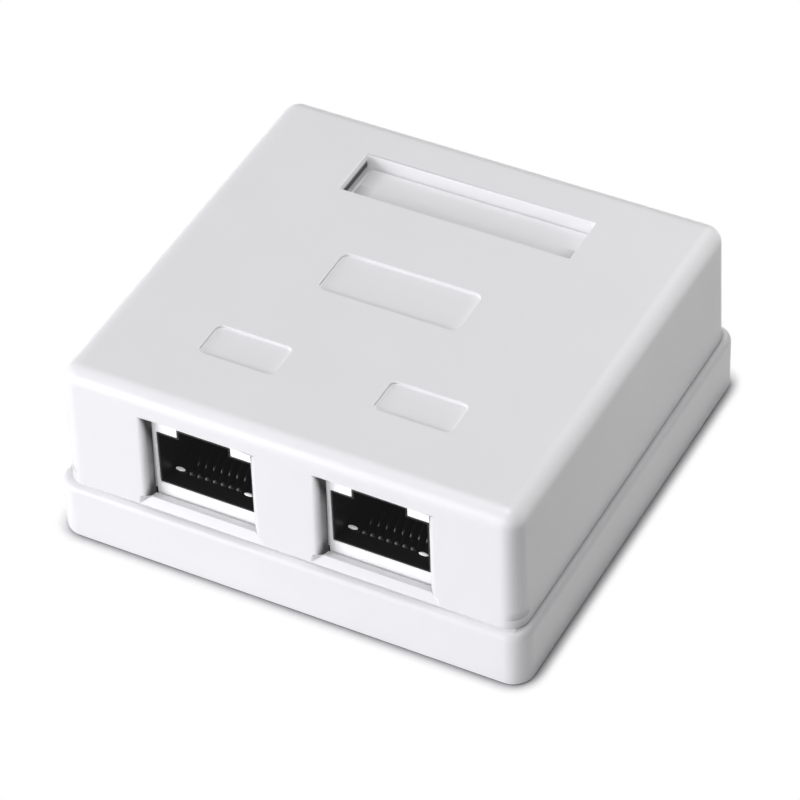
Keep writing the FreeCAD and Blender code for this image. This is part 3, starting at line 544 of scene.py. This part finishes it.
class Workpiece:
    """One mesh being shaped, from a node's copy or from nothing, until it is set on its body."""

    def __init__(self) -> None:
        """Starts an empty mesh."""
        self.bm = bmesh.new()

    @classmethod
    def copy_of(cls, node: str) -> "Workpiece":
        """Copies a node, joins its loose triangles and clears the lines across its flat faces.

        Args:
            node: the node's name.

        Returns:
            The copy, ready to be shaped.
        """
        piece = cls()
        piece.bm.from_mesh(bpy.data.objects[node].data)
        bmesh.ops.remove_doubles(piece.bm, verts=piece.bm.verts, dist=MERGE)
        piece.clear_flats()
        return piece

    @classmethod
    def plate(cls, outer: Sequence[Vector], inner: Sequence[Vector], thickness: Vector) -> "Workpiece":
        """Makes a plate from two closed outlines, one round the other.

        Args:
            outer: the outer outline's corners in order.
            inner: the hole's corners in order, or nothing.
            thickness: the way from the first face to the other.

        Returns:
            The plate.
        """
        piece = cls()
        for outline in (outer, inner):
            points = [piece.bm.verts.new(point) for point in outline]
            for here, there in zip(points, points[1:] + points[:1]):
                piece.bm.edges.new((here, there))
        bmesh.ops.triangle_fill(piece.bm, use_beauty=True, edges=piece.bm.edges[:])
        grown = bmesh.ops.extrude_face_region(piece.bm, geom=piece.bm.faces[:], use_keep_orig=True)
        moved = [part for part in grown["geom"] if isinstance(part, bmesh.types.BMVert)]
        bmesh.ops.translate(piece.bm, verts=moved, vec=thickness)
        piece.clear_flats()
        bmesh.ops.recalc_face_normals(piece.bm, faces=piece.bm.faces)
        return piece

    def clear_flats(self) -> None:
        """Clears the lines across the flat faces."""
        bmesh.ops.dissolve_limit(self.bm, angle_limit=FLAT_TURN, use_dissolve_boundaries=False,
                                 verts=self.bm.verts, edges=self.bm.edges)

    def add(self, other: "Workpiece") -> "Workpiece":
        """Takes in another workpiece's mesh and returns this one."""
        carrier = bpy.data.meshes.new("carried")
        other.bm.to_mesh(carrier)
        other.bm.free()
        self.bm.from_mesh(carrier)
        bpy.data.meshes.remove(carrier)
        return self

    def pip(self, middle: Vector, size: Vector) -> "Workpiece":
        """Adds a rounded stud.

        Args:
            middle: the stud's middle.
            size: its half sizes along X, Y and Z.

        Returns:
            This workpiece.
        """
        place = Matrix.Translation(middle) @ Matrix.Diagonal((*size, 1.0))
        bmesh.ops.create_uvsphere(self.bm, u_segments=20, v_segments=12, radius=1.0, matrix=place)
        return self

    def settle(self, name: str, finish: Finish, body: Body, slot: Slot, stands_for: Sequence[str] = (),
               edge: float = 0.0, steps: int = 2, turn: float = 28.0) -> bpy.types.Object:
        """Makes the object, rounds its edges, dresses it and sets it on its body.

        Args:
            name: the object's name.
            finish: its surface finish.
            body: the body it rides on.
            slot: the material slot; not used.
            stands_for: nodes that it replaces.
            edge: radius of the broken edges in metres, or nothing.
            steps: segments of each broken edge.
            turn: edges that turn by more than this many degrees are broken.

        Returns:
            The finished object.
        """
        mesh = bpy.data.meshes.new(name)
        self.bm.to_mesh(mesh)
        self.bm.free()
        mesh.polygons.foreach_set("use_smooth", [True] * len(mesh.polygons))
        piece = bpy.data.objects.new(name, mesh)
        bpy.context.scene.collection.objects.link(piece)
        mesh.materials.append(wardrobe(finish))
        if edge:
            bevel = piece.modifiers.new("broken_edges", "BEVEL")
            bevel.width = edge
            bevel.segments = steps
            bevel.limit_method = "ANGLE"
            bevel.angle_limit = math.radians(turn)
            bevel.use_clamp_overlap = False
            bevel.profile = 0.5
            bevel.miter_outer = "MITER_ARC"
        level = piece.modifiers.new("flat_faces_stay_flat", "WEIGHTED_NORMAL")
        level.mode = "FACE_AREA"
        level.keep_sharp = True
        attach(piece, body.value)
        if stands_for:
            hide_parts(*stands_for)
        LOG.info("%s: %d faces", name, len(mesh.polygons))
        return piece


_WARDROBE: dict[str, bpy.types.Material] = {}


def wardrobe(finish: Finish) -> bpy.types.Material:
    """The material of a finish, made once."""
    if finish.name not in _WARDROBE:
        _WARDROBE[finish.name] = finish.material()
    return _WARDROBE[finish.name]


def near(value: float, wanted: float, slack: float = 0.02 * MM) -> bool:
    """Whether two lengths are the same to within the slack."""
    return abs(value - wanted) < slack


def refined(node: str, name: str, finish: Finish, body: Body, slot: Slot, edge: float,
            steps: int = 2) -> bpy.types.Object:
    """Copies a node, rounds its edges and dresses it.

    Args:
        node: the node's name, which the piece replaces.
        name: the piece's name.
        finish: its surface finish.
        body: the body it rides on.
        slot: the material slot; not used.
        edge: radius of the broken edges in metres.
        steps: segments of each broken edge.

    Returns:
        The finished object.
    """
    return Workpiece.copy_of(node).settle(name, finish, body, slot, [node], edge, steps)


def soften(piece: Workpiece, wanted: Callable[[bmesh.types.BMEdge], bool], width: float,
           steps: int) -> None:
    """Rounds the edges of a workpiece that a test accepts.

    Args:
        piece: the workpiece.
        wanted: the test.
        width: the rounding's width in metres.
        steps: its segments.
    """
    chosen = [edge for edge in piece.bm.edges if wanted(edge)]
    bmesh.ops.bevel(piece.bm, geom=chosen, offset=width, offset_type="OFFSET", segments=steps, profile=0.5,
                    affect="EDGES", material=-1, clamp_overlap=True)


# Sub-assemblies


class WireBender:
    """Draws a round wire through straight runs and bends in a plane across X."""

    def __init__(self, start: Vector, radius: float, sides: int = 12) -> None:
        """Starts the wire, heading up.

        Args:
            start: the middle of its first end.
            radius: the wire's radius.
            sides: the flats round it.
        """
        self.piece = Workpiece()
        self.at = start.copy()
        self.heading = Vector((0.0, 0.0, 1.0))
        bm = self.piece.bm
        bmesh.ops.create_circle(bm, cap_ends=False, segments=sides, radius=radius,
                                matrix=Matrix.Translation(start))
        self.rim = bm.edges[:]

    def run(self, length: float) -> "WireBender":
        """Draws the wire straight on by a length."""
        grown = bmesh.ops.extrude_edge_only(self.piece.bm, edges=self.rim)["geom"]
        ends = {part for part in grown if isinstance(part, bmesh.types.BMVert)}
        step = self.heading * length
        bmesh.ops.translate(self.piece.bm, verts=list(ends), vec=step)
        self.rim = [edge for edge in self.piece.bm.edges if edge.verts[0] in ends and edge.verts[1] in ends]
        self.at += step
        return self

    def bend(self, degrees: float, setback: float, steps: int = 6) -> "WireBender":
        """Bends the wire about X, starting a setback before the corner.

        Args:
            degrees: the turn, positive from up to the front.
            setback: the bend's start and end, measured from the corner.
            steps: the rings in the bend.

        Returns:
            This bender.
        """
        angle = math.radians(degrees)
        radius = setback / math.tan(abs(angle) / 2)
        inward = Matrix.Rotation(math.copysign(math.pi / 2, angle), 3, "X") @ self.heading
        middle = self.at + inward * radius
        spun = bmesh.ops.spin(self.piece.bm, geom=list({v for e in self.rim for v in e.verts}) + self.rim,
                              cent=middle, axis=(1.0, 0.0, 0.0), dvec=(0.0, 0.0, 0.0), angle=angle,
                              steps=steps, use_merge=False, use_normal_flip=False, use_duplicate=False)
        self.rim = [part for part in spun["geom_last"] if isinstance(part, bmesh.types.BMEdge)]
        turn = Matrix.Rotation(angle, 3, "X")
        self.at = middle + turn @ (self.at - middle)
        self.heading = turn @ self.heading
        return self

    def finish(self) -> Workpiece:
        """Closes both ends and hands over the wire."""
        bm = self.piece.bm
        bmesh.ops.holes_fill(bm, edges=bm.edges, sides=0)
        bmesh.ops.recalc_face_normals(bm, faces=bm.faces)
        return self.piece


@dataclass
class Shells:
    """The white cover, the tray under it and the plate in the cover's label recess."""

    edge: float = 0.10 * MM
    plate_edge: float = 0.12 * MM

    def build(self) -> list[bpy.types.Object]:
        """Builds the three mouldings.

        Returns:
            The finished objects.
        """
        return [
            refined("cover_shell", "cover_moulding", WHITE_MOULDING, Body.COVER, Slot.MOULDING, self.edge),
            refined("base_tray", "tray_moulding", TRAY_MOULDING, Body.BASE, Slot.MOULDING, self.edge),
            refined("label_plate", "label_moulding", LABEL_MOULDING, Body.PLATE, Slot.INSERT,
                    self.plate_edge)]


@dataclass
class Jack:
    """One socket: white face frame, black housing and comb, and eight sprung wires.

    Lengths are those of the solids, in millimetres apart from the broken edges.
    """

    side: Side
    edge: float = 0.08 * MM
    wire_edge: float = 0.04 * MM
    wire_turn: float = 50.0
    boss_half: float = 6.62
    flange: float = 0.3
    wire_radius: float = 0.23
    wire_pitch: float = 1.016
    setback: float = 0.55
    pin_rows: tuple[float, float] = (-8.9, -11.1)
    pin_low: float = 3.0
    run_height: float = 9.35
    least_run: float = 0.001
    fold_y: float = -22.0
    fold_height: float = 10.45
    slope: tuple[float, float] = (6.1, 3.1)
    stud_places: tuple[tuple[float, float, float], ...] = ((-4.92, -23.62, 10.58), (4.15, -23.98, 10.5))
    stud_size: tuple[float, float, float] = (0.62, 0.26, 0.2)
    tip_place: tuple[float, float, float] = (-0.4, -23.75, 10.53)
    tip_size: tuple[float, float, float] = (0.23, 0.23, 0.22)
    face: str = field(init=False)
    low: Vector = field(init=False)
    high: Vector = field(init=False)
    middle: float = field(init=False)

    def __post_init__(self) -> None:
        """Finds the port's place from its face frame."""
        self.face = f"jack_face_{self.side.word}"
        self.low, self.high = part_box(self.face)
        self.middle = (self.low.x + self.high.x) / 2

    def build(self) -> list[bpy.types.Object]:
        """Builds the socket.

        Returns:
            The finished objects.
        """
        return [self.frame_piece(), self.housing(), self.comb(), self.wires(), self.studs(), self.rib_tips()]

    def spot(self, place: Sequence[float]) -> Vector:
        """A point given from the port's middle in millimetres."""
        x, y, z = place
        return Vector((self.middle + x * MM, y * MM, z * MM))

    def outline(self, half: float, y: float) -> list[Vector]:
        """A rectangle about the port's middle in a plane across Y, as high as the face frame."""
        low, high = self.low.z, self.high.z
        around = ((-half, low), (half, low), (half, high), (-half, high))
        return [Vector((self.middle + x, y, z)) for x, z in around]

    def opening(self, y: float) -> list[Vector]:
        """The hole's corners in the face frame, read from the node's own edges."""
        inside = {(round(v.co.x, 6), round(v.co.z, 6)) for v in bpy.data.objects[self.face].data.vertices
                  if self.low.x + MERGE < v.co.x < self.high.x - MERGE and near(v.co.y, self.low.y)}
        height = (self.low.z + self.high.z) / 2
        around = sorted(inside, key=lambda c: math.atan2(c[1] - height, c[0] - self.middle))
        return [Vector((x, y, z)) for x, z in around]

    def frame_piece(self) -> bpy.types.Object:
        """The white frame: a boss that fills the window, on a thin flange behind the cover's wall."""
        depth, flange = self.high.y - self.low.y, self.flange * MM
        start = self.high.y - flange
        boss = Workpiece.plate(self.outline(self.boss_half * MM, self.low.y), self.opening(self.low.y),
                               Vector((0.0, depth - flange / 2, 0.0)))
        rear = Workpiece.plate(self.outline((self.high.x - self.low.x) / 2, start), self.opening(start),
                               Vector((0.0, flange, 0.0)))
        return boss.add(rear).settle(f"face_frame_{self.side.word}", WHITE_INSERT, Body.BASE, Slot.INSERT,
                                     [self.face], self.edge)

    def housing(self) -> bpy.types.Object:
        """The black socket body."""
        return refined(f"jack_housing_{self.side.word}", f"socket_housing_{self.side.word}", BLACK_MOULDING,
                       Body.BASE, Slot.BLACK, self.edge)

    def comb(self) -> bpy.types.Object:
        """The black comb that holds the wires."""
        return refined(f"contact_carrier_{self.side.word}", f"wire_comb_{self.side.word}", BLACK_MOULDING,
                       Body.BASE, Slot.BLACK, self.edge, steps=3)

    def wires(self) -> bpy.types.Object:
        """The eight wires: pin, run under the socket, fold and sprung slope."""
        whole = Workpiece()
        lean = math.degrees(math.atan2(*self.slope))
        for i in range(WIRES):
            pin_y = self.pin_rows[i % 2]
            start = self.spot(((i - (WIRES - 1) / 2) * self.wire_pitch, pin_y, self.pin_low))
            bender = WireBender(start, self.wire_radius * MM)
            bender.run((self.run_height - self.pin_low - self.setback) * MM).bend(90.0, self.setback * MM)
            bender.run((pin_y - self.fold_y - 2 * self.setback) * MM).bend(-90.0, self.setback * MM)
            bender.run((self.fold_height - self.run_height - 2 * self.setback + self.least_run) * MM)
            bender.bend(-lean, self.setback * MM)
            bender.run((math.hypot(*self.slope) - self.setback) * MM)
            whole.add(bender.finish())
        return whole.settle(f"sprung_wires_{self.side.word}", CONTACT, Body.BASE, Slot.GOLD,
                            [f"contact_wires_{self.side.word}"], self.wire_edge, turn=self.wire_turn)

    def studs(self) -> bpy.types.Object:
        """Two small white studs at the ends of the comb, with a painted highlight as their glow."""
        piece = Workpiece()
        for place in self.stud_places:
            piece.pip(self.spot(place), Vector(self.stud_size) * MM)
        return piece.settle(f"comb_studs_{self.side.word}", STUD, Body.BASE, Slot.INSERT)

    def rib_tips(self) -> bpy.types.Object:
        """The rounded tips of the comb's ribs, one between each two wires, lightened as painted glints."""
        piece = Workpiece()
        x, y, z = self.tip_place
        for k in range(WIRES - 1):
            off = (k - WIRES / 2 + 1) * self.wire_pitch
            piece.pip(self.spot((x + off, y, z)), Vector(self.tip_size) * MM)
        return piece.settle(f"rib_tips_{self.side.word}", RIB_TIP, Body.BASE, Slot.BLACK)


@dataclass
class WiringSide:
    """Board, punch-down blocks with their blades, and the screws."""

    edge: float = 0.08 * MM
    fine_edge: float = 0.05 * MM

    def build(self) -> list[bpy.types.Object]:
        """Builds what lies under the cover.

        Returns:
            The finished objects.
        """
        made = [refined("circuit_board", "mask_board", BOARD_MASK, Body.BASE, Slot.BOARD, self.fine_edge)]
        for side in Side:
            for row in Row:
                tail = f"{side.word}_{row.value}"
                made.append(refined(f"terminal_block_{tail}", f"punch_block_{tail}", BLOCK_PLASTIC, Body.BASE,
                                    Slot.INSERT, self.edge))
                made.append(refined(f"terminal_blades_{tail}", f"slotted_blades_{tail}", TIN, Body.BASE,
                                    Slot.BLADE, self.fine_edge))
        made.append(Screws("board_screws", Body.BASE, head=1.3 * MM, core=0.8, pitch=0.7 * MM).build())
        made.append(Screws("cover_screw", Body.COVER, head=1.7 * MM, core=0.76, pitch=1.0 * MM).build())
        return made


@dataclass
class Screws:
    """The screws of one node, each with a rounded pan head, a slimmer core and a wound thread.

    Attributes:
        node: the node that holds them.
        body: the body they ride on.
        head: height of the head.
        core: radius of the core, as a share of the shank's.
        pitch: pitch of the thread.
        apart: two screws of a node stand further apart than twice this.
        slack: how far a point may lie from a radius that it belongs to.
        crown: rounding of the head, as a share of its height, and its segments.
        ends: how far the thread stays from the screw's foot and from its head.
        sink: how deep the thread's root lies in the core.
        tooth: half widths of the tooth's root and crest, as shares of the pitch.
        edge: radius of the broken edges.
    """

    node: str
    body: Body
    head: float
    core: float
    pitch: float
    apart: float = 5 * MM
    slack: float = 0.05 * MM
    crown: tuple[float, int] = (0.4, 5)
    ends: tuple[float, float] = (0.1 * MM, 0.4 * MM)
    sink: float = 0.02 * MM
    tooth: tuple[float, float] = (0.4, 0.08)
    edge: float = 0.05 * MM

    def build(self) -> bpy.types.Object:
        """Builds the screws.

        Returns:
            The finished object.
        """
        piece = Workpiece.copy_of(self.node)
        low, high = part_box(self.node)
        top, seat = high[2], high[2] - self.head
        foot = [v.co.xy.copy() for v in piece.bm.verts if near(v.co.z, low[2])]
        axes = self.find_axes(foot, high[0] > self.apart)
        shank = self.widest(foot, axes[0])
        wide = self.widest([v.co.xy for v in piece.bm.verts], axes[0])
        for axis in axes:
            for v in piece.bm.verts:
                away = v.co.xy - axis
                if near(away.length, shank, self.slack) and v.co.z < seat - MERGE:
                    v.co.xy = axis + away * self.core

        def rim(edge: bmesh.types.BMEdge) -> bool:
            """Whether an edge lies on a head's upper rim."""
            return all(near(v.co.z, top) and
                       any(near((v.co.xy - axis).length, wide, self.slack) for axis in axes)
                       for v in edge.verts)

        soften(piece, rim, self.crown[0] * self.head, self.crown[1])
        for axis in axes:
            piece.add(self.thread(axis, low[2] + self.ends[0], seat - self.ends[1], shank))
        return piece.settle(f"{self.node}_turned", ZINC, self.body, Slot.STEEL, [self.node], self.edge)

    @staticmethod
    def find_axes(foot: Sequence[Vector], paired: bool) -> list[Vector]:
        """Finds the screws' places from the points of their feet, the left one first.

        Args:
            foot: the points in X and Y.
            paired: whether there is a screw on either side.

        Returns:
            The places in X and Y.
        """
        axes = []
        for side in (-1.0, 1.0) if paired else (0.0,):
            own = [point for point in foot if not side or point.x * side > 0]
            axes.append(sum(own, Vector((0.0, 0.0))) / len(own))
        return axes

    def widest(self, points: Iterable[Vector], axis: Vector) -> float:
        """The radius of the furthest point that belongs to the screw at an axis."""
        return max(reach for reach in ((point - axis).length for point in points) if reach < self.apart)

    def thread(self, axis: Vector, low: float, high: float, crest: float) -> Workpiece:
        """Winds one thread up a screw's core.

        Args:
            axis: the screw's place in X and Y.
            low: the height where the thread starts.
            high: the height that it stays under.
            crest: the thread's outer radius.

        Returns:
            The thread.
        """
        piece = Workpiece()
        root = crest * self.core - self.sink
        wide, narrow = (share * self.pitch for share in self.tooth)
        turns = int((high - low) / self.pitch) - 1
        tooth = [Vector((axis.x + r, axis.y, low + wide + z)) for r, z in
                 ((root, -wide), (crest, -narrow), (crest, narrow), (root, wide))]
        face = piece.bm.faces.new([piece.bm.verts.new(point) for point in tooth])
        bmesh.ops.spin(piece.bm, geom=[face, *face.edges, *face.verts], cent=(axis.x, axis.y, low),
                       axis=(0.0, 0.0, 1.0), dvec=(0.0, 0.0, self.pitch / THREAD_STEPS),
                       angle=math.tau * turns, steps=THREAD_STEPS * turns, use_merge=False,
                       use_normal_flip=False, use_duplicate=False)
        bmesh.ops.recalc_face_normals(piece.bm, faces=piece.bm.faces)
        return piece


# Studio


@dataclass(frozen=True)
class Lamp:
    """A square soft box aimed at a point."""

    name: str
    place: tuple[float, float, float]
    size: float
    power: float
    colour: tuple[float, float, float] = (1.0, 1.0, 1.0)
    aim: tuple[float, float, float] = (0.0, 0.0, 0.012)


@dataclass
class Studio:
    """Floor, soft light, white surroundings and the camera at the photograph's angle."""

    ambient: float = 0.02
    floor_half: float = 6.0
    floor_drop: float = 0.05 * MM
    sensor: float = 36.0
    clip: float = 0.01
    lens: float = 181.8
    eye: tuple[float, float, float] = (0.169427, -0.304715, 0.324850)
    ahead: tuple[float, float, float] = (-0.360038, 0.646593, -0.672526)
    upward: tuple[float, float, float] = (-0.288233, 0.608509, 0.739350)
    lamps: tuple[Lamp, ...] = (
        Lamp("key_box", (-0.528, -0.629, 0.232), 0.45, 5.2, (1.0, 0.99, 1.035)),
        Lamp("front_box", (0.0, -0.799, 0.303), 0.45, 1.1, (1.0, 0.99, 1.035)),
        Lamp("roof_box", (0.0, -0.015, 0.862), 0.45, 3.75, (1.0, 0.99, 1.02)),
        Lamp("rear_box", (0.0, 0.696, 0.5), 0.45, 1.4),
        Lamp("right_rear_box", (0.13, 0.2, 0.2), 0.2, 0.07),
    )

    def build(self) -> None:
        """Builds the whole studio."""
        self.lay_floor()
        self.hang_lamps()
        self.set_world()
        self.set_camera()
        bpy.context.scene.view_settings.view_transform = "Standard"

    def lay_floor(self) -> None:
        """A wide sheet under the box."""
        bm = bmesh.new()
        bmesh.ops.create_grid(bm, x_segments=1, y_segments=1, size=self.floor_half)
        mesh = bpy.data.meshes.new("floor_sweep")
        bm.to_mesh(mesh)
        bm.free()
        mesh.transform(Matrix.Translation((0.0, 0.0, -self.floor_drop)))
        floor = bpy.data.objects.new("floor_sweep", mesh)
        bpy.context.scene.collection.objects.link(floor)
        mesh.materials.append(wardrobe(FLOOR))

    def hang_lamps(self) -> None:
        """Hangs every soft box."""
        for lamp in self.lamps:
            light = bpy.data.lights.new(lamp.name, "AREA")
            light.shape = "SQUARE"
            light.size = lamp.size
            light.energy = lamp.power
            light.color = lamp.colour
            item = bpy.data.objects.new(lamp.name, light)
            item.location = lamp.place
            towards = Vector(lamp.aim) - Vector(lamp.place)
            item.rotation_euler = towards.to_track_quat("-Z", "Y").to_euler()
            bpy.context.scene.collection.objects.link(item)

    def set_world(self) -> None:
        """White to the camera, soft grey light for everything else."""
        world = bpy.data.worlds.new("studio_air")
        world.use_nodes = True
        tree = world.node_tree
        tree.nodes.clear()
        ray = tree.nodes.new("ShaderNodeLightPath")
        level = tree.nodes.new("ShaderNodeMapRange")
        level.inputs["To Min"].default_value = self.ambient
        level.inputs["To Max"].default_value = 1.0
        air = tree.nodes.new("ShaderNodeBackground")
        air.inputs["Color"].default_value = (1.0, 1.0, 1.0, 1.0)
        out = tree.nodes.new("ShaderNodeOutputWorld")
        tree.links.new(ray.outputs["Is Camera Ray"], level.inputs["Value"])
        tree.links.new(level.outputs["Result"], air.inputs["Strength"])
        tree.links.new(air.outputs[0], out.inputs["Surface"])
        bpy.context.scene.world = world

    def set_camera(self) -> None:
        """The camera, as fitted to the box's edges."""
        data = bpy.data.cameras.new("camera")
        data.lens = self.lens
        data.sensor_width = self.sensor
        data.clip_start = self.clip
        ahead, upward = Vector(self.ahead).normalized(), Vector(self.upward).normalized()
        right = ahead.cross(upward).normalized()
        turn = Matrix((right, right.cross(ahead), -ahead)).transposed()
        camera = bpy.data.objects.new("camera", data)
        camera.matrix_world = Matrix.Translation(self.eye) @ turn.to_4x4()
        bpy.context.scene.collection.objects.link(camera)
        bpy.context.scene.camera = camera


def main() -> None:
    """Builds the pieces in order, then the studio."""
    logging.basicConfig(level=logging.INFO, format="%(name)s %(message)s")
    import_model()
    for part in (Shells(), Jack(Side.LEFT), Jack(Side.RIGHT), WiringSide()):
        made = part.build()
        LOG.info("%s: %s", type(part).__name__, ", ".join(piece.name for piece in made))
    Studio().build()


if __name__ == "__main__":
    main()
